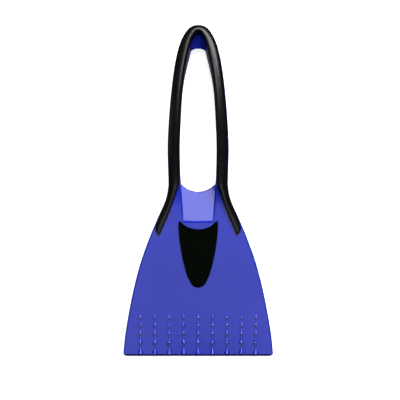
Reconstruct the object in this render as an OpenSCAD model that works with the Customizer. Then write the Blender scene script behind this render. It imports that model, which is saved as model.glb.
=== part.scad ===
// Windshield ice scraper: a hard plastic scraper that runs from a wide toothed blade into a
// finger loop, with a soft grip moulded round the front of the loop and a soft thumb pad
// moulded into the face of the blade.
// It lies on its back with +Z out of the toothed face, X across and Y along its length. The
// scraping edge is at low Y and the end of the loop at high Y. Every point is first given on
// the flattened face as [x, s, h]: across, along the face from the scraping edge, and out of
// the face. place() then bends it on to the bowed face.

/* [Overall] */
// Width of the blade at its scraping edge, corners not rounded
blade_w = 111; // [96:1:122]
// Length along the bowed face, from the scraping edge to the end of the loop
face_len = 246; // [220:1:270]
// Length of the flat front of the blade, before the face bows back
flat_len = 70; // [54:1:88]
// Slope of the blade when the scraper rests on its back
front_tilt = 12; // [10:0.5:14]
// Slope of the end of the loop, the other way
back_tilt = 16.6; // [15.5:0.1:18]

/* [Blade] */
// Thickness of the blade plate
blade_t = 3; // [2.4:0.1:4]
// Height of the blunt scraping edge
edge_land = 1; // [0.6:0.1:1.6]
// Length of the bevel behind the scraping edge
bevel_len = 1.8; // [1:0.1:3]
// How far the plate's sides fall below its middle
crown_drop = 1.1; // [0:0.1:2]
// Radius of the blade's two front corners
corner_r = 3; // [1.5:0.1:5]

/* [Loop] */
// Depth of the hard loop below the face
loop_depth = 11; // [9:0.5:12.5]
// Height of the soft grip above the face
grip_h = 6; // [4:0.5:7]
// Depth of the finger scoop where it meets the loop's hole
scoop_depth = 7.4; // [3:0.1:7.5]
// How much deeper the scoop is in its middle than at its sides
scoop_dish = 0.5; // [0:0.1:0.8]

/* [Teeth] */
// Columns of teeth
tooth_cols = 9; // [5:2:9]
// Distance between columns
tooth_pitch = 10.6; // [9:0.1:11.2]
// Height of the tallest teeth, in the row nearest the edge
tooth_h = 3; // [1:0.1:3.2]

/* [Thumb pad] */
// Height of the pad above the face
pad_h = 0.8; // [0.4:0.1:1.5]
// Height of the rolled lip along the pad's top, above the pad
pad_lip = 1; // [0:0.1:1.5]
// Diameter of the plugs that key the pad through the blade
plug_d = 4; // [3:0.5:6]

/* [Hidden] */

// Scales from the drawn outlines, which are 111 mm wide and 246 mm long.
kx = blade_w / 111;
ks = face_len / 246;

// Height cut off under the scraping edge and the loop's end, which leaves two flat lands.
rest_cut = 0.3;
edge_t = 2.2;
bow_r = (face_len - flat_len) * 180 / PI / (front_tilt + back_tilt);
lift = edge_t * cos(front_tilt) - rest_cut;

// Half-width of the blade and neck: [along the face, half-width].
side = [
    [-15, 57], [0, 55.5], [15, 53.9], [33, 50.9], [51.5, 47.05], [70, 42.2], [88, 35.9],
    [97, 32.2], [106, 28.35], [112, 25.6], [118, 23.3], [124, 22], [130, 21.4], [136, 21.4]
];
// Line from the hole's corner down the side of the scoop: [along the face, half-width].
crease = [[-15, 11], [0, 11], [60, 10], [97, 10.4], [124.6, 12.15], [129, 12.5], [135, 12.9]];

// The neck ends on the loop's hole in an arc: where it starts at the hole's corners, and how
// far it dips in the middle.
neck_s = 128.7;
neck_sag = 5.85;
// Where the scoop starts, how much steeper it is there than at its end, and the least
// thickness under it.
scoop_s = 101.5;
scoop_bend = 0.08;
scoop_floor = 1.7;

// Stations round the right half of the loop, each as three [x, s] points: the outer edge, the
// hole's edge at the front, and the hole's edge at the back, which is rounder and smaller.
loop = [
    [[22.4, 119], [11.9, 118], [11.9, 118]],
    [[21.5, 128.7], [12.5, 128.7], [12.5, 128.7]],
    [[21.75, 140], [13, 141], [13.2, 141]],
    [[22.1, 153], [13.2, 153], [13.45, 153]],
    [[21.85, 164], [13, 164], [13.25, 164]],
    [[21.2, 176], [12.5, 175], [12.75, 175]],
    [[20.4, 187], [11.95, 186], [12.2, 186]],
    [[19.4, 198], [11.15, 197], [11.35, 197]],
    [[18.15, 209], [9.9, 207.5], [10, 207]],
    [[16.65, 219.2], [8.2, 218], [8.1, 216.5]],
    [[14.5, 229], [6.3, 227], [6.6, 223]],
    [[11.7, 236.5], [4.5, 233.4], [5.2, 229.2]],
    [[7.9, 242.6], [2.5, 237.3], [3.2, 231]],
    [[4.3, 245.2], [1.25, 239], [1.6, 231.5]],
    [[0, 246], [0, 239.6], [0, 231.6]]
];
// The grip's strips over the shoulders, from the tip up to the neck, each as its inner edge,
// its outer edge and its height as a share of the grip's height.
strip = [
    [[27.9, 91.6], [30.9, 95], 0.22],
    [[25.8, 97], [30.4, 99.8], 0.26],
    [[22, 105.5], [27.3, 107.9], 0.4],
    [[19, 113.3], [24.2, 115.4], 0.57],
    [[16.2, 121.6], [22, 122.8], 0.74],
    [[13.6, 129.2], [21.25, 129.8], 0.9]
];
// The pad's right side, from the middle of its concave top down to its tip: [x, s].
pad_side = [
    [0, 95.7], [4.5, 96.3], [8.8, 98.1], [12.2, 101.2], [13.7, 101.7], [14.3, 100],
    [14.1, 94], [13.2, 85.5], [11.6, 76], [9.1, 65.5], [6.8, 59.2], [4, 54.6], [0, 53.2]
];
plug_at = [66, 88];

// Tooth rows: [foot, half-width of the foot, height as a share of the tallest].
tooth_rows = [[2.6, 2.3, 1], [10.7, 1.9, 0.78], [17.7, 1.6, 0.64], [23.8, 1.4, 0.54], [29.8, 1.3, 0.5]];

// Depths of the soft parts' seats in the hard body.
grip_foot = 1.5;
pad_foot = 1.6;

// Keels carry the depth of the loop's arms on under the blade's sides: the stretch over which
// they deepen, and the distances from the side at which they start and end to fall away.
keel_s = [60, 122];
keel_w = [8.5, 13];
// A rim as deep as the loop closes the neck before the hole: the stretch over which it deepens.
rim_s = [107, 117];
// Radius of the back edges at the blade and at the loop, and the stretch between them.
back_r_ends = [0.6, 3];
back_r_s = [60, 118];
// The plate thickens from its edge up to here.
plate_s = 10;
// The hard loop sinks under the grip over this stretch, by this depth, with this edge radius.
seat_s = [129, 137];
seat = 1.3;
seat_r = 0.4;
// The scoop's side wall and the hole's small edge radius die out this far round the loop.
wall_run = 3;
edge_run = 8;

// Mesh layout of the hard body: columns from the middle to the hole's line, columns across
// an arm, and the columns that round each edge of an arm.
n_mid = 4;
n_arm = 8;
n_edge = 2;
n_half = n_mid + n_arm;
n_step = 3;
edge_r = 1;
// The rounding of the blade's side edges starts as this share at the thin scraping edge and is
// full from edge_s on.
edge_start = 0.3;
edge_s = 4;
// Radius of the neck's edge round the hole.
hole_r = 0.5;

// Values between two ends, and a smooth step from 0 at a to 1 at b.
function mix(a, b, t) = a + (b - a) * t;
function clamp01(t) = min(1, max(0, t));
function ease(a, b, v) = let (t = clamp01((v - a) / (b - a))) t * t * (3 - 2 * t);

// A smooth curve through a table of [position, value].
function seg(tab, v, i = 1) = i >= len(tab) - 3 || v < tab[i + 1][0] ? i : seg(tab, v, i + 1);
function slope(tab, i) = (tab[i + 1][1] - tab[i - 1][1]) / (tab[i + 1][0] - tab[i - 1][0]);
function curve(tab, v) =
    let (i = seg(tab, v), w = tab[i + 1][0] - tab[i][0], t = (v - tab[i][0]) / w)
    hermite(tab[i][1], tab[i + 1][1], slope(tab, i) * w, slope(tab, i + 1) * w, t);
function hermite(a, b, ma, mb, t) =
    let (u = 1 - t)
    (1 + 2 * t) * u * u * a + t * u * u * ma + t * t * (3 - 2 * t) * b - t * t * u * mb;

// A smooth curve through points, at q counted in points.
function through(pts, q, first) =
    let (i = min(len(pts) - 2, floor(q)), b = pts[i], c = pts[i + 1])
    let (a = i > 0 ? pts[i - 1] : is_undef(first) ? b : first)
    let (d = i + 2 < len(pts) ? pts[i + 2] : mirror_x(b))
    hermite(b, c, (c - a) / 2, (d - b) / 2, q - i);
function mirror_x(p) = [-p[0], p[1], if (len(p) > 2) p[2]];

// The bowed face: its lean, its path in Y and Z, and the place of a point on it.
function lean(s) = front_tilt - max(0, s - flat_len) * 180 / PI / bow_r;
function path_y(s) =
    min(s, flat_len) * cos(front_tilt) + bow_r * (sin(front_tilt) - sin(lean(s)));
function path_z(s) =
    lift + min(s, flat_len) * sin(front_tilt) + bow_r * (cos(lean(s)) - cos(front_tilt));
function place(p) =
    let (s = p[1] * ks, a = lean(s))
    [p[0] * kx, path_y(s) - p[2] * sin(a) - middle_y, path_z(s) + p[2] * cos(a)];
// Middle of the whole length in Y, from the scraping edge to the grip's end.
grip_over = 0.42;
middle_y = ((edge_t - edge_land) * sin(front_tilt) + path_y(face_len) + grip_over) / 2;

// Half-width of the body at s, with the front corners rounded.
function half_w(s) =
    curve(side, s) - corner_r * (1 - sqrt(1 - pow(clamp01(1 - s / corner_r), 2)));
// Where a column's last row meets the hole: an arc across the neck.
neck_arc_r = (pow(curve(crease, neck_s), 2) + neck_sag * neck_sag) / (2 * neck_sag);
function neck_end(x) = neck_s - neck_sag + neck_arc_r - sqrt(neck_arc_r * neck_arc_r - x * x);

// Offset and drop of the columns that round an edge of radius 1.
function edge_in(j) = 1 - cos(90 * j / n_edge);
function edge_drop(j) = 1 - sin(90 * j / n_edge);
// Distance from an arm's inner edge, and drop from its face, at column j. The arm is w wide and
// its edges have a radius at the hole and another outside.
function arm_in(j, w, r_hole, r_out) =
    j <= n_edge ? r_hole * edge_in(j)
    : j >= n_arm - n_edge ? w - r_out * edge_in(n_arm - j)
    : mix(r_hole, w - r_out, (j - n_edge) / (n_arm - 2 * n_edge));
function arm_drop(j, r_hole, r_out) =
    j <= n_edge ? r_hole * edge_drop(j)
    : j >= n_arm - n_edge ? r_out * edge_drop(n_arm - j)
    : 0;

// Thickness of the plate, depth of the scoop, fall of the plate's sides and of its bevel, and
// depth of the back face. Across the scoop, share is 0 in the middle and 1 at its sides.
function plate_t(s) = mix(edge_t, blade_t, clamp01(s / plate_s));
function scoop_run(s) = max(0, (min(s, neck_s) - scoop_s) / (neck_s - neck_sag - scoop_s));
function scoop(s, share = 1) =
    let (t = scoop_run(s), long = scoop_depth * t * (1 + scoop_bend * (1 - t)))
    min(loop_depth - scoop_floor, long + scoop_dish * t * (1 - share * share));
function sag(x, s) = crown_drop * sin(180 * clamp01(s / neck_s)) * pow(x / half_w(s), 2);
function bevel(s) = (edge_t - edge_land) * (1 - clamp01(s / bevel_len));
function keel(s, d) = ease(keel_s[0], keel_s[1], s) * (1 - ease(keel_w[0], keel_w[1], d));
function under(x, s, dip) =
    let (share = max(keel(s, half_w(s) - abs(x)), ease(rim_s[0], rim_s[1], s)))
    max(plate_t(s) + dip, mix(plate_t(s), loop_depth, share));
// Radius of the body's back edges: it grows with the depth of the keels.
function back_r(s) = mix(back_r_ends[0], back_r_ends[1], ease(back_r_s[0], back_r_s[1], s));

// Radius of the body's outer edge on its front face or its back face.
function out_r(s, face) =
    mix(edge_start, 1, clamp01(s / edge_s)) * (face == 1 ? edge_r : back_r(s));

// Rows of the blade and neck. The last rows end on the hole and round its edge.
low_rows = [0, 0.4, 1.8, 3.5, 8, 14, 22, 30, 38, 46, 54, 62, 70, 78, 86, 93, 98, scoop_s];
top_rows = [0.2, 0.4, 0.6, 0.78, 0.9];
n_low = len(low_rows);
n_rows = n_low + len(top_rows) + n_edge + 1;
function row_s(r, x) =
    r < n_low ? low_rows[r]
    : let (last = neck_end(min(x, curve(crease, neck_s))), k = r - n_low - len(top_rows))
    k < 0 ? mix(scoop_s, last - hole_r, top_rows[r - n_low])
    : last - hole_r * edge_in(n_edge - k);
function row_drop(r) = let (k = n_rows - 1 - r) k > n_edge ? 0 : edge_drop(k);

// A vertex of the blade and neck: face is 1 for the front and 0 for the back.
function low_point(r, i, face) =
    let (a = abs(i - n_half), j = a - n_mid, mid = a <= n_mid, turn = i < n_half ? -1 : 1)
    let (share = mid ? a / n_mid : 1)
    let (s = row_s(r, share * curve(crease, neck_s)), inner = curve(crease, s))
    let (r_out = out_r(s, face))
    let (x = mid ? inner * share : inner + arm_in(j, half_w(s) - inner, edge_r, r_out))
    let (wall = j <= n_edge ? edge_drop(max(0, j)) : 0, hole = row_drop(r) * hole_r)
    let (side_drop = mid ? 0 : arm_drop(j, 0, r_out), dip = scoop(s, share))
    let (top = -bevel(s) - wall * (dip + hole) - side_drop)
    let (low = -under(x, s, mid ? dip : 0) + wall * hole + side_drop)
    place([turn * x, s, (face == 1 ? top : low) - sag(x, s)]);

// A vertex round the loop: k runs from the right side of the neck over the loop's end and down
// its left side, j from the hole's edge to the outer edge.
n_ring = (len(loop) - 2) * n_step;
outer_line = [for (p = loop) p[0]];
front_line = [for (p = loop) p[1]];
back_line = [for (p = loop) p[2]];
function ring_point(k, j, face) =
    let (m = k > n_ring ? 2 * n_ring - k : k, q = 1 + m / n_step, turn = k > n_ring ? -1 : 1)
    let (o = through(outer_line, q), e = through(face == 1 ? front_line : back_line, q))
    let (r_out = face == 1 ? seat_r : back_r(neck_s))
    let (r_hole = mix(hole_r, r_out, ease(neck_s, neck_s + edge_run, e[1])))
    let (w = norm(o - e), p = mix(e, o, arm_in(j, w, r_hole, r_out) / w))
    let (rise = scoop(neck_s) * (1 - ease(neck_s, neck_s + wall_run, e[1])))
    let (wall = j <= n_edge ? edge_drop(j) : 0, edge = arm_drop(j, r_hole, r_out))
    let (top = -seat * ease(seat_s[0], seat_s[1], p[1]) - wall * rise - edge)
    place([turn * p[0], p[1], face == 1 ? top : edge - loop_depth]);

// The hard body as one closed mesh: a grid over the blade and neck, and a ring round the hole
// that shares its end rows with the grid.
n_cols = 2 * n_half + 1;
n_grid = n_rows * n_cols;
n_span = n_arm + 1;
n_loop = (2 * n_ring - 1) * n_span;
n_face = n_grid + n_loop;
function g(r, i) = r * n_cols + i;
function l(k, j) =
    k == 0 ? g(n_rows - 1, n_half + n_mid + j)
    : k == 2 * n_ring ? g(n_rows - 1, n_half - n_mid - j)
    : n_grid + (k - 1) * n_span + j;
function both(f) = [f, [for (i = [len(f) - 1 : -1 : 0]) f[i] + n_face]];
function wall(a, b) = [a, b, b + n_face, a + n_face];
body_points = [
    for (face = [1, 0]) each concat(
        [for (r = [0 : n_rows - 1], i = [0 : n_cols - 1]) low_point(r, i, face)],
        [for (k = [1 : 2 * n_ring - 1], j = [0 : n_arm]) ring_point(k, j, face)]
    )
];
body_faces = concat(
    [for (r = [0 : n_rows - 2], i = [0 : n_cols - 2])
        each both([g(r, i), g(r + 1, i), g(r + 1, i + 1), g(r, i + 1)])],
    [for (k = [0 : 2 * n_ring - 1], j = [0 : n_arm - 1])
        each both([l(k, j), l(k + 1, j), l(k + 1, j + 1), l(k, j + 1)])],
    [for (i = [0 : n_cols - 2]) wall(g(0, i), g(0, i + 1))],
    [for (r = [0 : n_rows - 2]) wall(g(r + 1, 0), g(r, 0))],
    [for (r = [0 : n_rows - 2]) wall(g(r, n_cols - 1), g(r + 1, n_cols - 1))],
    [for (i = [n_half - n_mid : n_half + n_mid - 1]) wall(g(n_rows - 1, i + 1), g(n_rows - 1, i))],
    [for (k = [0 : 2 * n_ring - 1]) wall(l(k + 1, 0), l(k, 0))],
    [for (k = [0 : 2 * n_ring - 1]) wall(l(k, n_arm), l(k + 1, n_arm))]
);

// A closed tube through sections that all have the same number of points. Each end is closed
// by a fan round the middle of its section.
function middle(pts, i = 0) =
    pts[i] / len(pts) + (i == len(pts) - 1 ? [0, 0, 0] : middle(pts, i + 1));
module loft(sections) {
    n = len(sections[0]);
    m = len(sections);
    function next(i) = (i + 1) % n;
    polyhedron(
        points = [
            for (sec = sections) each [for (p = sec) place(p)],
            place(middle(sections[0])),
            place(middle(sections[m - 1]))
        ],
        faces = [
            for (k = [0 : m - 2], i = [0 : n - 1])
                [k * n + i, (k + 1) * n + i, (k + 1) * n + next(i), k * n + next(i)],
            for (i = [0 : n - 1]) [m * n, i, next(i)],
            for (i = [0 : n - 1]) [m * n + 1, (m - 1) * n + next(i), (m - 1) * n + i]
        ]
    );
}

// How far the hard loop stands out past the grip, round its hole and round its outside.
inner_lip = 0.1;
outer_lip = 0.35;
// The grip's section: where its crown is between the hole's side and the outside, the height
// of its side walls as a share of its crown's, and how full its curve is.
crown_at = 0.27;
side_share = 0.25;
fullness = 0.65;
n_section = 8;
// Height of the grip where it leaves the shoulders, as a share of its full height.
shoulder_h = 0.97;

// Stations of the grip from the tip of a strip to the loop's end, as [inner, outer, height].
function unit(v) = v / norm(v);
grip_stations = concat(strip, [for (i = [2 : len(loop) - 1])
    let (across = unit(loop[i][0] - loop[i][1]))
    [loop[i][1] + across * inner_lip, loop[i][0] - across * outer_lip, i == 2 ? shoulder_h : 1]]);
grip_inner = [for (p = grip_stations) p[0]];
grip_outer = [for (p = grip_stations) p[1]];
n_grip = len(grip_stations);
function height_at(q) =
    let (i = min(n_grip - 2, floor(q)))
    mix(grip_stations[i][2], grip_stations[i + 1][2], q - i);

// Section of the grip at q, counted in stations. It stands in the hard body on its foot and is
// narrowed and lowered by shrink.
function grip_section(q, turn, shrink) =
    let (a = through(grip_inner, q), b = through(grip_outer, q))
    let (pinch = (b - a) * (1 - shrink) / 2, e = a + pinch, o = b - pinch)
    let (top = grip_h * height_at(q) * shrink)
    let (arc = [for (k = [0 : n_section])
        let (t = 180 * k / n_section, c = -cos(t))
        let (p = mix(e, o, c < 0 ? crown_at * (1 + c) : mix(crown_at, 1, c)))
        [turn * p[0], p[1], mix(side_share * top, top, pow(sin(t), fullness))]])
    concat([[turn * e[0], e[1], -grip_foot]], arc, [[turn * o[0], o[1], -grip_foot]]);

// Sections along the grip, as [q, share of the full section]: the tip is drawn in to round it,
// and the step round the loop keeps clear of the hard loop's own stations.
tip_steps = [[0, 0.55], [0.1, 0.85], [0.25, 1]];
strip_end = 4.5;
loop_start = 4.85;
loop_step = 0.31;
grip_steps = concat(
    tip_steps,
    [for (q = [0.5 : 0.5 : strip_end]) [q, 1]],
    [for (q = [loop_start : loop_step : n_grip - 1.1]) [q, 1]]
);
n_steps = len(grip_steps);
module grip_solid() {
    right = [for (v = grip_steps) grip_section(v[0], 1, v[1])];
    left = [for (i = [1 : n_steps]) let (v = grip_steps[n_steps - i]) grip_section(v[0], -1, v[1])];
    loft(concat(right, left));
}

// The pad: its outline, shrunk towards a point on its middle line, with a height at each ring.
// The outline's points are half a station apart, and none is on the middle line.
pad_mid = [0, 80];
n_pad = len(pad_side);
function pad_edge(q) = through(pad_side, q, mirror_x(pad_side[1]));
pad_outline = concat(
    [for (q = [0.25 : 0.5 : n_pad - 1]) mirror_x(pad_edge(q))],
    [for (q = [n_pad - 1.25 : -0.5 : 0]) pad_edge(q)]
);
// The lip rolled along the pad's concave top: how far the top is from the hole, the lip's
// half-width, and where it dies out towards the pad's two points.
pad_top_in = 26.1;
lip_w = 1.6;
lip_end = [10, 14];
function lip(p) =
    let (x = abs(p[0]), off = neck_end(min(x, lip_end[1])) - pad_top_in - p[1])
    pad_lip * exp(-pow(off / lip_w, 2)) * (1 - ease(lip_end[0], lip_end[1], x));
function pad_ring(k, h, lipped) =
    [for (p = pad_outline)
        let (c = mix(pad_mid, p, k))
        [c[0], c[1], h + (lipped ? lip(c) : 0)]];

// The pad's top, as [share of the outline, share of the pad's height].
pad_profile = [[1, 0.5], [0.98, 0.85], [0.95, 1], [0.9, 1], [0.8, 0.85], [0.55, 0.7], [0.2, 0.65]];
module pad_solid() {
    foot = pad_ring(1, -pad_foot, false);
    loft(concat([foot], [for (v = pad_profile) pad_ring(v[0], pad_h * v[1], true)]));
}

// A plug square to the face, from a little under the face down to a depth.
plug_top = 1;
bore_depth = 8;
module plug(s, depth) {
    translate(place([0, s, 0]))
        rotate([lean(s * ks), 0, 0])
            translate([0, 0, -depth])
                cylinder(h = depth - plug_top, d = plug_d, $fn = 32);
}

// One tooth: a ramp that rises towards the scraping edge and ends in a steep face there. Its
// root is sunk into the plate.
ramp_slope = 32;
ramp_w = 0.85;
crest_in = 0.4;
tooth_root = 0.35;
spot_d = 0.02;
module tooth(x, foot, half, h) {
    crest = foot + crest_in;
    tip = crest + (h + tooth_root) / tan(ramp_slope);
    deep = -sag(x, foot);
    hull() {
        for (p = [[-half, foot], [half, foot], [0, tip]])
            spot([x + p[0], p[1], deep - tooth_root]);
        for (turn = [-1, 1])
            spot([x + turn * ramp_w, crest, deep + h]);
    }
}
module spot(p) {
    translate(place(p)) cube(spot_d, center = true);
}
module teeth() {
    for (c = [0 : tooth_cols - 1], row = tooth_rows)
        tooth((c - (tooth_cols - 1) / 2) * tooth_pitch / kx, row[0], row[1], tooth_h * row[2]);
}

// Everything below the surface that the scraper rests on.
module below_rest() {
    translate([-blade_w, -face_len, -loop_depth])
        cube([2 * blade_w, 2 * face_len, loop_depth]);
}

module scraper_body() {
    color([0.27, 0.3, 0.72]) difference() {
        union() {
            polyhedron(points = body_points, faces = body_faces);
            teeth();
        }
        grip_solid();
        pad_solid();
        for (s = plug_at) plug(s, bore_depth);
        below_rest();
    }
}

module loop_grip() {
    color([0.04, 0.04, 0.05]) grip_solid();
}

module thumb_pad() {
    color([0.03, 0.03, 0.04]) union() {
        pad_solid();
        for (s = plug_at) plug(s, blade_t);
    }
}

scraper_body();
loop_grip();
thumb_pad();
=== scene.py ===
"""Looks for the windshield ice scraper: its three mouldings, their finishes and a plain studio.

The mouldings follow part.scad's shapes, with finer meshes and small details that it leaves out. Lengths
in the shape code are millimetres on the flattened face, as [x, s, h]: across, along the face from the
scraping edge, and out of the face. place() bends a point on to the bowed face and gives it in metres.
"""

import math

import bmesh
import bpy
import numpy as np
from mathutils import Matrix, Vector


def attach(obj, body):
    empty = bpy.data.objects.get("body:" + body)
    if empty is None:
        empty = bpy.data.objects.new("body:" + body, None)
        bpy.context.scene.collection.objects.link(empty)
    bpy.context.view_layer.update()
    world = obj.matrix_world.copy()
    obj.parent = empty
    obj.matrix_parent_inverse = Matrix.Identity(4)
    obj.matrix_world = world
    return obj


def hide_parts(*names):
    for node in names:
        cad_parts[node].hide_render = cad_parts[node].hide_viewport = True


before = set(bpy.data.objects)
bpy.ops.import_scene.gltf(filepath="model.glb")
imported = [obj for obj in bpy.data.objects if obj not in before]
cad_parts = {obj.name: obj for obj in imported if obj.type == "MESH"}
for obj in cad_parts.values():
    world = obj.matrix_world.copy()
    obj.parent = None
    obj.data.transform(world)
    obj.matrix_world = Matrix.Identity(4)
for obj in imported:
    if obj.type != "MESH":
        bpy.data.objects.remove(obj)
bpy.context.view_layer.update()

MM = 0.001

# The face: its length, its flat front's length, and its slope up from the front and down to the loop's end.
FACE_LEN, FLAT_LEN = 246.0, 70.0
FRONT_TILT, BACK_TILT = math.radians(12), math.radians(16.6)
# The plate's thickness, at its scraping edge and from PLATE_S on; the edge's land and bevel.
BLADE_T, EDGE_T, PLATE_S = 3.0, 2.2, 10
EDGE_LAND, BEVEL_LEN = 1.0, 1.8
# How far the blade's sides fall, its corners' radius, and its edges' radii at the side and the hole. The
# side's rounding starts at a share of its radius at the scraping edge and is full from EDGE_S on.
CROWN_DROP, CORNER_R, EDGE_R, HOLE_R = 1.1, 3.0, 1.0, 0.5
EDGE_START, EDGE_S = 0.3, 4.0
# Where the neck ends and its arc's sag; the scoop's start, depth, bend, dish and least floor under it.
NECK_S, NECK_SAG, SCOOP_S = 128.7, 5.85, 101.5
SCOOP_DEPTH, SCOOP_BEND, SCOOP_DISH, SCOOP_FLOOR = 7.4, 0.08, 0.5, 1.7
# The back: the loop's depth; where the keels deepen and how far in from the side they fall away; where
# the rim deepens; the back edges' radius at the blade, its growth, and the stretch over which it grows.
LOOP_DEPTH = 11.0
KEEL_S, KEEL_W, RIM_S = (60, 122), (8.5, 13), (107, 117)
BACK_R, BACK_R_GROWTH, BACK_R_S = 0.6, 2.4, (60, 118)
# How the hard loop sinks under the grip, and how far round it the scoop's wall and the hole's edge die out.
SEAT, SEAT_R, SEAT_S = 1.3, 0.4, (129.0, 137.0)
WALL_RUN, EDGE_RUN = 3.0, 8.0
# The grip: height, depth of its seat, how far it stops short of the loop's two edges; its crown's place
# and fullness, the share of its height that its sides take; the share of its height that it has where it
# leaves the shoulders, and how far it stands out past the loop's end.
GRIP_H, GRIP_FOOT, INNER_LIP, OUTER_LIP = 6.0, 1.5, 0.1, 0.35
CROWN_AT, FULLNESS, SIDE_SHARE = 0.27, 0.65, 0.25
SHOULDER_H, GRIP_OVER = 0.97, 0.42
# The pad: height, depth of its seat, the lip along its top, how far that top is from the hole, the lip's
# half-width and where it dies out; its plugs' diameter and places, and how deep below the face their tops
# and their bores' ends are.
PAD_H, PAD_FOOT, PAD_LIP, PAD_TOP_IN = 0.8, 1.6, 1.0, 26.1
LIP_W, LIP_END = 1.6, (10, 14)
PLUG_D, PLUGS_AT, PLUG_TOP, BORE_DEPTH = 4.0, (66.0, 88.0), 1, 8
# The channel round the strips and the pad, which part.scad leaves out: depth, width and edge chamfer, how
# far its cutter's chamfer stands over the face, and the top of the pad's cutter.
CHANNEL_D, CHANNEL_W, CHAMFER, CHAMFER_OVER, PAD_CUT_TOP = 0.6, 0.4, 0.18, 0.02, 3
# The teeth: columns, pitch, tallest height, slope and half-width of the ramp, crest behind the foot, how
# deep the root is sunk, and the edges' bevel.
TOOTH_COLS, TOOTH_PITCH, TOOTH_H = 9, 10.6, 3.0
RAMP_SLOPE, RAMP_W = math.radians(32), 0.85
CREST_IN, TOOTH_ROOT, TOOTH_BEVEL = 0.4, 0.6, 0.13
# How far the scraping edge is sunk below the surface that it rests on, to be cut off flat.
REST_CUT = 0.3

BOW_R = (FACE_LEN - FLAT_LEN) / (FRONT_TILT + BACK_TILT)
LIFT = EDGE_T * math.cos(FRONT_TILT) - REST_CUT

# Half-width of the blade and neck, and of the crease down the scoop's side: (s, half-width).
SIDE = [
    (-15, 57), (0, 55.5), (15, 53.9), (33, 50.9), (51.5, 47.05), (70, 42.2), (88, 35.9),
    (97, 32.2), (106, 28.35), (112, 25.6), (118, 23.3), (124, 22), (130, 21.4), (136, 21.4),
]
CREASE = [(-15, 11), (0, 11), (60, 10), (97, 10.4), (124.6, 12.15), (129, 12.5), (135, 12.9)]

# Stations round the right half of the loop, as [x, s]: outer edge, hole at the front, hole at the back.
LOOP = np.array([
    [[22.4, 119], [11.9, 118], [11.9, 118]],
    [[21.5, 128.7], [12.5, 128.7], [12.5, 128.7]],
    [[21.75, 140], [13, 141], [13.2, 141]],
    [[22.1, 153], [13.2, 153], [13.45, 153]],
    [[21.85, 164], [13, 164], [13.25, 164]],
    [[21.2, 176], [12.5, 175], [12.75, 175]],
    [[20.4, 187], [11.95, 186], [12.2, 186]],
    [[19.4, 198], [11.15, 197], [11.35, 197]],
    [[18.15, 209], [9.9, 207.5], [10, 207]],
    [[16.65, 219.2], [8.2, 218], [8.1, 216.5]],
    [[14.5, 229], [6.3, 227], [6.6, 223]],
    [[11.7, 236.5], [4.5, 233.4], [5.2, 229.2]],
    [[7.9, 242.6], [2.5, 237.3], [3.2, 231]],
    [[4.3, 245.2], [1.25, 239], [1.6, 231.5]],
    [[0, 246], [0, 239.6], [0, 231.6]],
])
# The grip's strips over the shoulders, from the tip: inner edge, outer edge, share of the grip's height.
STRIP = [
    ([27.9, 91.6], [30.9, 95], 0.22),
    ([25.8, 97], [30.4, 99.8], 0.26),
    ([22, 105.5], [27.3, 107.9], 0.4),
    ([19, 113.3], [24.2, 115.4], 0.57),
    ([16.2, 121.6], [22, 122.8], 0.74),
    ([13.6, 129.2], [21.25, 129.8], 0.9),
]
# The pad's right side, from the middle of its concave top down to its tip: [x, s].
PAD_SIDE = np.array([
    [0, 95.7], [4.5, 96.3], [8.8, 98.1], [12.2, 101.2], [13.7, 101.7], [14.3, 100],
    [14.1, 94], [13.2, 85.5], [11.6, 76], [9.1, 65.5], [6.8, 59.2], [4, 54.6], [0, 53.2],
])
# Tooth rows: foot, half-width of the foot, height as a share of the tallest.
TOOTH_ROWS = [(2.6, 2.3, 1), (10.7, 1.9, 0.78), (17.7, 1.6, 0.64), (23.8, 1.4, 0.54), (29.8, 1.3, 0.5)]

# How finely the body is meshed: columns from the middle to the crease, round an edge, across an arm and
# from the middle to the side; steps from one station of the loop to the next.
N_MID, N_EDGE = 14, 5
N_ARM = 2 * N_EDGE + 12
N_HALF = N_MID + N_ARM
N_STEP = 12


# ---------------------------------------------------------------- curves
def ease(a, b, v):
    """A smooth step from 0 at a to 1 at b."""
    t = min(1.0, max(0.0, (v - a) / (b - a)))
    return t * t * (3 - 2 * t)


def hermite(a, b, ma, mb, t):
    """The curve from a to b that starts with slope ma and ends with slope mb."""
    u = 1 - t
    return (1 + 2 * t) * u * u * a + t * u * u * ma + t * t * (3 - 2 * t) * b - t * t * u * mb


def curve(table, v):
    """A smooth curve through a table of (position, value)."""
    i = 1
    while i < len(table) - 3 and v >= table[i + 1][0]:
        i += 1
    width = table[i + 1][0] - table[i][0]

    def slope(k):
        return (table[k + 1][1] - table[k - 1][1]) / (table[k + 1][0] - table[k - 1][0])

    t = (v - table[i][0]) / width
    return hermite(table[i][1], table[i + 1][1], slope(i) * width, slope(i + 1) * width, t)


def mirrored(p):
    return np.array([-p[0], p[1]])


def through(points, q, first=None):
    """A smooth curve through points, at q counted in points; its end is on the middle line."""
    i = min(len(points) - 2, int(q))
    b, c = points[i], points[i + 1]
    a = points[i - 1] if i > 0 else (b if first is None else first)
    d = points[i + 2] if i + 2 < len(points) else mirrored(b)
    return hermite(b, c, (c - a) / 2, (d - b) / 2, q - i)


def unit(v):
    return v / np.linalg.norm(v)


# ---------------------------------------------------------------- the bowed face
def lean(s):
    """Slope of the face at s, as an angle, which is above 0 where it rises away from the scraping edge."""
    return FRONT_TILT - max(0.0, s - FLAT_LEN) / BOW_R


def path(s):
    """Y and Z of the face's middle line, before the length is centred on the origin."""
    run = min(s, FLAT_LEN)
    y = run * math.cos(FRONT_TILT) + BOW_R * (math.sin(FRONT_TILT) - math.sin(lean(s)))
    z = LIFT + run * math.sin(FRONT_TILT) + BOW_R * (math.cos(lean(s)) - math.cos(FRONT_TILT))
    return y, z


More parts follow.
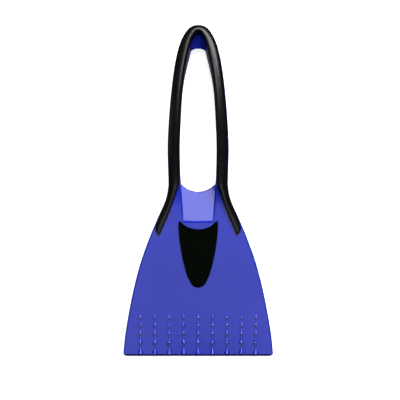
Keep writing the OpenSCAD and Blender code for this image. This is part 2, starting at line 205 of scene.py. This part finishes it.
# Middle of the whole length, from the scraping edge to the grip's end.
MIDDLE_Y = ((EDGE_T - EDGE_LAND) * math.sin(FRONT_TILT) + path(FACE_LEN)[0] + GRIP_OVER) / 2


def place(x, s, h):
    y, z = path(s)
    a = lean(s)
    return Vector((x, y - h * math.sin(a) - MIDDLE_Y, z + h * math.cos(a))) * MM


def half_w(s):
    """Half-width of the body, with the blade's front corners rounded."""
    t = min(1.0, max(0.0, 1 - s / CORNER_R))
    return curve(SIDE, s) - CORNER_R * (1 - math.sqrt(1 - t * t))


NECK_HALF = curve(CREASE, NECK_S)
NECK_R = (NECK_HALF**2 + NECK_SAG**2) / (2 * NECK_SAG)


def neck_end(x):
    """Where the neck ends on the loop's hole: an arc."""
    return NECK_S - NECK_SAG + NECK_R - math.sqrt(NECK_R**2 - x * x)


# ---------------------------------------------------------------- the hard body's faces
def edge_in(j):
    """How far in from an edge column j of its rounding is, as a share of the radius."""
    return 1 - math.cos(math.pi / 2 * j / N_EDGE)


def edge_drop(j):
    """How far below the face column j of a rounding is, as a share of the radius."""
    return 1 - math.sin(math.pi / 2 * j / N_EDGE)


def arm_in(j, w, r_hole, r_out):
    """Distance of column j from the inner edge of an arm w wide, with the radii of its two edges."""
    if j <= N_EDGE:
        return r_hole * edge_in(j)
    if j >= N_ARM - N_EDGE:
        return w - r_out * edge_in(N_ARM - j)
    return r_hole + (w - r_out - r_hole) * (j - N_EDGE) / (N_ARM - 2 * N_EDGE)


def arm_drop(j, r_hole, r_out):
    """Depth of column j of an arm below its flat middle."""
    if j <= N_EDGE:
        return r_hole * edge_drop(j)
    if j >= N_ARM - N_EDGE:
        return r_out * edge_drop(N_ARM - j)
    return 0.0


def plate_t(s):
    return EDGE_T + (BLADE_T - EDGE_T) * min(1.0, s / PLATE_S)


def scoop(s, share=1.0):
    """Depth of the finger scoop, which is dished across: share is 0 in its middle and 1 at its sides."""
    t = max(0.0, (min(s, NECK_S) - SCOOP_S) / (NECK_S - NECK_SAG - SCOOP_S))
    long = SCOOP_DEPTH * t * (1 + SCOOP_BEND * (1 - t))
    return min(LOOP_DEPTH - SCOOP_FLOOR, long + SCOOP_DISH * t * (1 - share**2))


def sag(x, s):
    """How far the crowned face has fallen at x."""
    return CROWN_DROP * math.sin(math.pi * min(1.0, max(0.0, s / NECK_S))) * (x / half_w(s)) ** 2


def bevel(s):
    """How far the bevel behind the scraping edge is below the face."""
    return (EDGE_T - EDGE_LAND) * (1 - min(1.0, s / BEVEL_LEN))


def under(x, s, dip):
    """Depth of the back face: the plate, or the keels and rim that carry the loop's depth on under it."""
    keel = ease(*KEEL_S, s) * (1 - ease(*KEEL_W, half_w(s) - abs(x)))
    share = max(keel, ease(*RIM_S, s))
    return max(plate_t(s) + dip, plate_t(s) + (LOOP_DEPTH - plate_t(s)) * share)


def back_r(s):
    """Radius of the back edges, which grows with the depth of the keels."""
    return BACK_R + BACK_R_GROWTH * ease(*BACK_R_S, s)


def out_r(s, front):
    """Radius of the body's outer edge, which is small at the thin scraping edge."""
    share = EDGE_START + (1 - EDGE_START) * min(1.0, s / EDGE_S)
    return share * (EDGE_R if front else back_r(s))


# The rows of the blade are at fixed s. The rows from the scoop's start to the hole share out what is left,
# because the neck ends on an arc.
ROWS = [0, 0.05, 0.3, 0.7, 1.2, BEVEL_LEN, 2.4] + list(np.linspace(3, SCOOP_S, 96))
TOP_SHARES = [k / 22 for k in range(1, 22)]
N_ROWS = len(ROWS) + len(TOP_SHARES) + N_EDGE + 1


def row_s(r, x):
    """Where row r crosses x."""
    if r < len(ROWS):
        return ROWS[r]
    last = neck_end(min(x, NECK_HALF))
    k = r - len(ROWS) - len(TOP_SHARES)
    if k < 0:
        return SCOOP_S + (last - HOLE_R - SCOOP_S) * TOP_SHARES[r - len(ROWS)]
    return last - HOLE_R * edge_in(N_EDGE - k)


def low_point(r, i, front):
    """A vertex of the blade and neck: row r, column i, on the front or the back face."""
    a = abs(i - N_HALF)
    j, mid = a - N_MID, a <= N_MID
    turn = -1 if i < N_HALF else 1
    share = a / N_MID if mid else 1
    s = row_s(r, share * NECK_HALF)
    inner = curve(CREASE, s)
    r_out = out_r(s, front)
    x = inner * share if mid else inner + arm_in(j, half_w(s) - inner, EDGE_R, r_out)
    wall = edge_drop(max(0, j)) if j <= N_EDGE else 0
    after = N_ROWS - 1 - r
    hole = HOLE_R * edge_drop(after) if after <= N_EDGE else 0
    side_drop = 0 if mid else arm_drop(j, 0, r_out)
    dip = scoop(s, share)
    if front:
        h = -bevel(s) - wall * (dip + hole) - side_drop
    else:
        h = -under(x, s, dip if mid else 0) + wall * hole + side_drop
    return place(turn * x, s, h - sag(x, s))


N_RING = (len(LOOP) - 2) * N_STEP


def ring_point(k, j, front):
    """A vertex round the loop: k runs from the neck's right over the loop's end to its left, j outwards."""
    m = 2 * N_RING - k if k > N_RING else k
    q = 1 + m / N_STEP
    turn = -1 if k > N_RING else 1
    o = through(LOOP[:, 0], q)
    e = through(LOOP[:, 1] if front else LOOP[:, 2], q)
    r_out = SEAT_R if front else back_r(NECK_S)
    r_hole = HOLE_R + (r_out - HOLE_R) * ease(NECK_S, NECK_S + EDGE_RUN, e[1])
    width = np.linalg.norm(o - e)
    p = e + (o - e) * arm_in(j, width, r_hole, r_out) / width
    edge = arm_drop(j, r_hole, r_out)
    if front:
        wall = edge_drop(j) if j <= N_EDGE else 0
        rise = scoop(NECK_S) * (1 - ease(NECK_S, NECK_S + WALL_RUN, e[1]))
        h = -SEAT * ease(*SEAT_S, p[1]) - wall * rise - edge
    else:
        h = edge - LOOP_DEPTH
    return place(turn * p[0], p[1], h)


def raw_body():
    """The hard body before its seats are cut: a grid over the blade and neck, and a ring round the hole."""
    n_cols = 2 * N_HALF + 1
    n_grid = N_ROWS * n_cols
    n_face = n_grid + (2 * N_RING - 1) * (N_ARM + 1)
    points = []
    for front in (True, False):
        points += [low_point(r, i, front) for r in range(N_ROWS) for i in range(n_cols)]
        points += [ring_point(k, j, front) for k in range(1, 2 * N_RING) for j in range(N_ARM + 1)]

    def g(r, i):
        return r * n_cols + i

    def ring(k, j):
        if k == 0:
            return g(N_ROWS - 1, N_HALF + N_MID + j)
        if k == 2 * N_RING:
            return g(N_ROWS - 1, N_HALF - N_MID - j)
        return n_grid + (k - 1) * (N_ARM + 1) + j

    def cells(corner, n, m):
        return [
            (corner(a, b), corner(a, b + 1), corner(a + 1, b + 1), corner(a + 1, b))
            for a in range(n) for b in range(m)
        ]

    quads = cells(g, N_ROWS - 1, n_cols - 1) + cells(ring, 2 * N_RING, N_ARM)
    faces = quads + [tuple(v + n_face for v in reversed(f)) for f in quads]
    rim = [(g(0, i + 1), g(0, i)) for i in range(n_cols - 1)]
    rim += [(g(r, 0), g(r + 1, 0)) for r in range(N_ROWS - 1)]
    rim += [(g(r + 1, n_cols - 1), g(r, n_cols - 1)) for r in range(N_ROWS - 1)]
    rim += [(g(N_ROWS - 1, i), g(N_ROWS - 1, i + 1)) for i in range(N_HALF - N_MID, N_HALF + N_MID)]
    rim += [(ring(k, 0), ring(k + 1, 0)) for k in range(2 * N_RING)]
    rim += [(ring(k + 1, N_ARM), ring(k, N_ARM)) for k in range(2 * N_RING)]
    faces += [(a, b, b + n_face, a + n_face) for a, b in rim]
    return new_mesh("raw_body", points, faces)


# ---------------------------------------------------------------- meshes
def new_object(name, data):
    obj = bpy.data.objects.new(name, data)
    bpy.context.scene.collection.objects.link(obj)
    return obj


def new_mesh(name, points, faces):
    """A new object of a closed mesh, with its faces turned outwards."""
    mesh = bpy.data.meshes.new(name)
    mesh.from_pydata([tuple(p) for p in points], [], faces)
    obj = new_object(name, mesh)
    bm = bmesh.new()
    bm.from_mesh(mesh)
    bmesh.ops.recalc_face_normals(bm, faces=bm.faces)
    bm.to_mesh(mesh)
    bm.free()
    return obj


def loft(name, sections):
    """A closed tube through sections of [x, s, h] points, each end closed by a fan."""
    n, m = len(sections[0]), len(sections)
    points = [place(*p) for sec in sections for p in sec]
    points += [place(*np.mean(sections[0], axis=0)), place(*np.mean(sections[-1], axis=0))]
    faces = [
        (k * n + i, k * n + (i + 1) % n, (k + 1) * n + (i + 1) % n, (k + 1) * n + i)
        for k in range(m - 1) for i in range(n)
    ]
    faces += [(m * n, (i + 1) % n, i) for i in range(n)]
    faces += [(m * n + 1, (m - 1) * n + i, (m - 1) * n + (i + 1) % n) for i in range(n)]
    return new_mesh(name, points, faces)


def combine(obj, other, operation):
    """Applies a boolean with other to obj, and removes other."""
    mod = obj.modifiers.new("cut", "BOOLEAN")
    mod.operation, mod.object, mod.solver = operation, other, "MANIFOLD"
    depsgraph = bpy.context.evaluated_depsgraph_get()
    mesh = bpy.data.meshes.new_from_object(obj.evaluated_get(depsgraph))
    obj.modifiers.clear()
    old, obj.data = obj.data, mesh
    bpy.data.meshes.remove(old)
    bpy.data.objects.remove(other)


def smooth(obj, angle):
    """Smooth shading that leaves the edges above an angle in degrees sharp."""
    obj.data.shade_smooth()
    obj.data.set_sharp_from_angle(angle=math.radians(angle))
    mod = obj.modifiers.new("face_weighted_normals", "WEIGHTED_NORMAL")
    mod.keep_sharp = True


# ---------------------------------------------------------------- the grip
def across(p):
    return unit(p[0] - p[1])


# Stations of the grip from a strip's tip to the loop's end: inner edge, outer edge, share of its height.
GRIP = [(np.array(a, float), np.array(b, float), h) for a, b, h in STRIP] + [
    (p[1] + across(p) * INNER_LIP, p[0] - across(p) * OUTER_LIP, SHOULDER_H if i == 0 else 1.0)
    for i, p in enumerate(LOOP[2:])
]
GRIP_INNER = [p[0] for p in GRIP]
GRIP_OUTER = [p[1] for p in GRIP]
N_SECTION = 26
# A strip's rounded nose: its length in stations, the angle it starts at, and its number of sections.
NOSE_LEN, NOSE_START, N_NOSE = 0.35, 0.28, 7
# Where the grip's even sections start, and how many there are.
EVEN_START, N_EVEN = 0.5, 230
# The channel's end, in stations, and its sections from a strip's tip: (station, share of the width).
CHANNEL_END = 5.5
CHANNEL_NOSE = [(0, 0.5), (0.03, 0.7), (0.1, 0.88), (0.2, 1)]
# The channel goes out past a strip's tip, which fades by this far up the strip, in stations.
TIP_FADE = 0.125


def height_at(q):
    i = min(len(GRIP) - 2, int(q))
    return GRIP[i][2] + (GRIP[i + 1][2] - GRIP[i][2]) * (q - i)


def grip_section(q, turn, shrink):
    """The grip's section at q, in stations from a strip's tip. Its crown is nearer the hole."""
    a, b = through(GRIP_INNER, q), through(GRIP_OUTER, q)
    pinch = (b - a) * (1 - shrink) / 2
    e, o = a + pinch, b - pinch
    top = GRIP_H * height_at(q) * shrink
    low = SIDE_SHARE * top
    section = [(e, -GRIP_FOOT)]
    for k in range(N_SECTION + 1):
        t = math.pi * k / N_SECTION
        c = -math.cos(t)
        w = CROWN_AT * (1 + c) if c < 0 else CROWN_AT + (1 - CROWN_AT) * c
        section.append((e + (o - e) * w, low + (top - low) * max(0.0, math.sin(t)) ** FULLNESS))
    section.append((o, -GRIP_FOOT))
    return [(turn * p[0], p[1], h) for p, h in section]


def grip_sections():
    """The grip's sections from the right strip's tip round the loop to the left strip's."""
    turns = np.linspace(NOSE_START, math.pi / 2, N_NOSE)
    nose = [(NOSE_LEN * (1 - math.cos(t)), math.sin(t) ** 0.5) for t in turns]
    steps = nose + [(q, 1) for q in np.linspace(EVEN_START, len(GRIP) - 1, N_EVEN)]
    right = [grip_section(q, 1, k) for q, k in steps]
    left = [grip_section(q, -1, k) for q, k in reversed(steps[:-1])]
    return right + left


def strip_channel(turn):
    """Cutter for the narrow chamfered channel round a shoulder strip."""
    steps = CHANNEL_NOSE + [(q, 1) for q in np.linspace(NOSE_LEN, CHANNEL_END, 60)]
    sections = []
    for q, k in steps:
        a, b = through(GRIP_INNER, q), through(GRIP_OUTER, q)
        d = unit(b - a)
        tip = np.array([d[1], -d[0]]) * CHANNEL_W * (1 - min(1, q / TIP_FADE))
        out = d * (CHANNEL_W - np.linalg.norm(b - a) * (1 - k) / 2)
        e, o = a - out + tip, b + out + tip
        rim = d * CHAMFER
        levels = [(e, -CHANNEL_D), (e, -CHAMFER), (e - rim, CHAMFER_OVER), (e - rim, GRIP_H)]
        levels += [(o + rim, GRIP_H), (o + rim, CHAMFER_OVER), (o, -CHAMFER), (o, -CHANNEL_D)]
        sections.append([(turn * p[0], p[1], h) for p, h in levels])
    return loft("channel", sections)


# ---------------------------------------------------------------- the pad
PAD_MID = np.array([0.0, 80.0])
# The outline's points are an eighth of a station apart, and none is on the middle line.
HALF_OUTLINE = [
    through(PAD_SIDE, q, mirrored(PAD_SIDE[1])) for q in np.arange(0.0625, len(PAD_SIDE) - 1, 0.125)
]
PAD_OUTLINE = [mirrored(p) for p in HALF_OUTLINE] + HALF_OUTLINE[::-1]
# The pad's rounded edge and its dished top, as (share of the outline, share of the pad's height).
PAD_EDGE = [(1, 0.5), (0.995, 0.68), (0.985, 0.84), (0.97, 0.95), (0.95, 1), (0.92, 1)]
PAD_DISH = [(k, 0.65 + 0.35 * k**3) for k in (0.88, 0.84, 0.8, 0.72, 0.62, 0.5, 0.35, 0.2, 0.08)]


def lip(p):
    """Height of the lip rolled along the pad's concave top."""
    below = neck_end(min(abs(p[0]), LIP_END[1])) - PAD_TOP_IN - p[1]
    return PAD_LIP * math.exp(-((below / LIP_W) ** 2)) * (1 - ease(*LIP_END, abs(p[0])))


def pad_ring(k, h, grow=0.0, lipped=True):
    """The pad's outline shrunk to a share k and grown by a width, at height h and with or without the lip."""
    ring = []
    for p in PAD_OUTLINE:
        c = PAD_MID + (p - PAD_MID) * k + unit(p - PAD_MID) * grow
        ring.append((c[0], c[1], h + (lip(c) if lipped else 0)))
    return ring


def pad_sections():
    return [pad_ring(1, -PAD_FOOT, 0, False)] + [pad_ring(k, PAD_H * h) for k, h in PAD_EDGE + PAD_DISH]


def pad_channel():
    """Cutter for the channel round the pad."""
    levels = [(0, -CHANNEL_D), (0, -CHAMFER), (CHAMFER, CHAMFER_OVER), (CHAMFER, PAD_CUT_TOP)]
    return loft("channel", [pad_ring(1, h, CHANNEL_W + w, False) for w, h in levels])


# ---------------------------------------------------------------- plugs and teeth
def plug(name, s, low, high, sides=48):
    """A plug on the middle line, square to the face, from height low to height high."""
    points = []
    a = lean(s)
    centre = place(0, s, 0)
    along, up = Vector((0, math.cos(a), math.sin(a))), Vector((0, -math.sin(a), math.cos(a)))
    for h in (low, high):
        for k in range(sides):
            t = 2 * math.pi * k / sides
            out = Vector((math.cos(t), 0, 0)) + along * math.sin(t)
            points.append(centre + out * PLUG_D / 2 * MM + up * h * MM)
    faces = [(k, (k + 1) % sides, sides + (k + 1) % sides, sides + k) for k in range(sides)]
    faces += [tuple(range(sides))[::-1], tuple(range(sides, 2 * sides))]
    return new_mesh(name, points, faces)


def tooth(bm, x, foot, half, height):
    """One tooth: a ramp that rises towards the scraping edge, with softened edges."""
    crest = foot + CREST_IN
    tip = crest + height / math.tan(RAMP_SLOPE)
    deep = -sag(x, foot)
    base = [(-half, foot), (half, foot), (0, tip)]
    spots = [(*p, h) for h in (0, -TOOTH_ROOT) for p in base]
    spots += [(-RAMP_W, crest, height), (RAMP_W, crest, height)]
    one = bmesh.new()
    verts = [one.verts.new(place(x + p[0], p[1], deep + p[2])) for p in spots]
    bmesh.ops.convex_hull(one, input=verts)
    bmesh.ops.dissolve_limit(one, angle_limit=0.02, verts=one.verts, edges=one.edges)
    bmesh.ops.bevel(
        one, geom=one.edges[:], offset=TOOTH_BEVEL * MM, segments=3, affect="EDGES", profile=0.5,
    )
    mesh = bpy.data.meshes.new("tooth")
    one.to_mesh(mesh)
    one.free()
    bm.from_mesh(mesh)
    bpy.data.meshes.remove(mesh)


def teeth():
    bm = bmesh.new()
    for c in range(TOOTH_COLS):
        for foot, half, share in TOOTH_ROWS:
            tooth(bm, (c - (TOOTH_COLS - 1) / 2) * TOOTH_PITCH, foot, half, TOOTH_H * share)
    mesh = bpy.data.meshes.new("teeth")
    bm.to_mesh(mesh)
    bm.free()
    return new_object("teeth", mesh)


def below_rest():
    """A cutter for all that is below the surface that the scraper rests on."""
    corners = [Vector((x, y, z)) for x in (-0.2, 0.2) for y in (-0.4, 0.4) for z in (-0.02, 0)]
    faces = [(0, 1, 3, 2), (4, 6, 7, 5), (0, 4, 5, 1), (2, 3, 7, 6), (0, 2, 6, 4), (1, 5, 7, 3)]
    return new_mesh("below_rest", corners, faces)


# ---------------------------------------------------------------- the three pieces
def make_body():
    body = raw_body()
    combine(body, teeth(), "UNION")
    combine(body, loft("seat", grip_sections()), "DIFFERENCE")
    for turn in (-1, 1):
        combine(body, strip_channel(turn), "DIFFERENCE")
    combine(body, loft("seat", pad_sections()), "DIFFERENCE")
    combine(body, pad_channel(), "DIFFERENCE")
    for s in PLUGS_AT:
        combine(body, plug("bore", s, -BORE_DEPTH, -PLUG_TOP), "DIFFERENCE")
    combine(body, below_rest(), "DIFFERENCE")
    body.name = "hard_body"
    smooth(body, 32)
    return body


def make_grip():
    grip = loft("soft_grip", grip_sections())
    smooth(grip, 50)
    return grip


def make_pad():
    pad = loft("soft_thumb_pad", pad_sections())
    for s in PLUGS_AT:
        combine(pad, plug("plug", s, -BLADE_T, -PLUG_TOP), "UNION")
    smooth(pad, 40)
    return pad


# ---------------------------------------------------------------- finishes
def shader(name):
    """A new material, with its shader and makers for further nodes and links."""
    mat = bpy.data.materials.new(name)
    mat.use_nodes = True
    nodes = mat.node_tree.nodes

    def node(kind, **values):
        made = nodes.new(kind)
        for key, value in values.items():
            made.inputs[key].default_value = value
        return made

    return mat, nodes["Principled BSDF"], node, mat.node_tree.links.new


def moulded(name, cloud, tints, haze, roughness, grain, bump, shine):
    """A moulded finish. Its colour and its roughness drift a little, and a fine bump covers it.

    cloud, haze and grain are the scale and detail of the noise behind the colour, the roughness and the
    bump; tints are the colour's two stops; bump is its strength and distance.
    """
    mat, bsdf, node, link = shader(name)
    coords = node("ShaderNodeTexCoord")

    def noise(scale, detail):
        made = node("ShaderNodeTexNoise", Scale=scale, Detail=detail)
        link(coords.outputs["Object"], made.inputs["Vector"])
        return made.outputs["Fac"]

    tint = node("ShaderNodeValToRGB")
    for element, (position, colour) in zip(tint.color_ramp.elements, tints):
        element.position, element.color = position, (*colour, 1)
    rough = node("ShaderNodeMapRange", **{"To Min": roughness[0], "To Max": roughness[1]})
    dents = node("ShaderNodeBump", Strength=bump[0], Distance=bump[1])
    link(noise(*cloud), tint.inputs["Fac"])
    link(noise(*haze), rough.inputs["Value"])
    link(noise(*grain), dents.inputs["Height"])
    link(tint.outputs["Color"], bsdf.inputs["Base Color"])
    link(rough.outputs["Result"], bsdf.inputs["Roughness"])
    link(dents.outputs["Normal"], bsdf.inputs["Normal"])
    bsdf.inputs["Specular IOR Level"].default_value = shine
    return mat


def blue_plastic():
    tints = [(0.3, (0.010, 0.024, 0.425)), (0.7, (0.015, 0.029, 0.455))]
    return moulded("blue_plastic", (28, 3), tints, (140, 4), (0.09, 0.13), (420, 2), (0.08, 0.0002), 0.25)


def soft_rubber(name, low, high, roughness, shine):
    tints = [(0.35, low), (0.7, high)]
    return moulded(name, (60, 4), tints, (60, 4), roughness, (2600, 2), (0.18, 0.0001), shine)


# ---------------------------------------------------------------- the studio
def make_floor():
    """A pale floor that curves up all round, far from the object.

    It is hidden from reflections and bounced light, so the object's sides stay as dark as they are in the
    photograph.
    """
    flat_r, curve_r, turns = 1.5, 1.2, 96
    profile = [(r, 0.0) for r in (0.2, 0.5, 1.0, flat_r)]
    profile += [
        (flat_r + curve_r * math.sin(t), curve_r * (1 - math.cos(t))) for t in np.linspace(0.15, 1.45, 12)
    ]
    angles = [2 * math.pi * k / turns for k in range(turns)]
    points = [Vector((r * math.cos(a), r * math.sin(a), z)) for r, z in profile for a in angles]
    points.append(Vector((0, 0, 0)))
    faces = [(len(points) - 1, k, (k + 1) % turns) for k in range(turns)]
    for ring in range(len(profile) - 1):
        a, b = ring * turns, (ring + 1) * turns
        faces += [(a + k, b + k, b + (k + 1) % turns, a + (k + 1) % turns) for k in range(turns)]
    floor = new_mesh("studio_floor", points, faces)
    floor.data.shade_smooth()
    mat, bsdf = shader("studio_floor")[:2]
    finish = {
        "Base Color": (0.86, 0.86, 0.87, 1), "Roughness": 0.6, "Specular IOR Level": 0.2,
        "Emission Color": (1, 1, 1, 1), "Emission Strength": 0.75,
    }
    for key, value in finish.items():
        bsdf.inputs[key].default_value = value
    floor.data.materials.append(mat)
    floor.visible_glossy = floor.visible_diffuse = floor.visible_shadow = False


def softbox(name, at, size, power):
    """A rectangular light that faces the middle of the object."""
    light = bpy.data.lights.new(name, "AREA")
    light.shape, light.size, light.size_y, light.energy = "RECTANGLE", size[0], size[1], power
    obj = new_object(name, light)
    obj.location = at
    obj.rotation_euler = (Vector((0, 0, 0.01)) - Vector(at)).to_track_quat("-Z", "Y").to_euler()
    obj.visible_camera = False


def make_lights():
    """The first three are placed so that the scoop, the loop's end and the blade each reflect one."""
    softbox("scoop_light", (0.08, 1.23, 2.18), (0.8, 0.5), 12.5)
    softbox("top_light", (0.6, 1.82, 1.74), (1.75, 0.9), 92)
    softbox("sheen_light", (0.0, -1.1, 2.79), (1.6, 1.22), 14.6)
    softbox("left_light", (-1.3, 0.3, 0.45), (0.4, 1.0), 1.0)
    softbox("right_light", (1.2, -0.6, 0.3), (0.3, 0.5), 1.0)
    softbox("under_light", (0.0, 0.0, -1.2), (1.6, 1.6), 1)
    world = bpy.data.worlds.new("studio")
    bpy.context.scene.world = world
    world.use_nodes = True
    world.node_tree.nodes["Background"].inputs["Color"].default_value = (0.02, 0.02, 0.021, 1)


def make_camera():
    """A camera straight above the object, with the loop's end at the top of the picture."""
    data = bpy.data.cameras.new("camera")
    data.lens = 115.7
    data.clip_end = 20
    camera = new_object("camera", data)
    camera.location = (0.0013, -0.0062, 0.95)
    bpy.context.scene.camera = camera


def finish_piece(piece, material, node):
    piece.data.materials.clear()
    piece.data.materials.append(material)
    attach(piece, "root")
    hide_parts(node)


make_camera()
make_floor()
make_lights()
bpy.context.scene.view_settings.view_transform = "Standard"

grip_rubber = soft_rubber("grip_rubber", (0.003, 0.003, 0.0035), (0.005, 0.005, 0.0055), (0.2, 0.26), 0.19)
pad_rubber = soft_rubber("pad_rubber", (0.0004, 0.0014, 0.0003), (0.0009, 0.0022, 0.0008), (0.4, 0.48), 0.02)
finish_piece(make_body(), blue_plastic(), "scraper_body")
finish_piece(make_grip(), grip_rubber, "loop_grip")
finish_piece(make_pad(), pad_rubber, "thumb_pad")
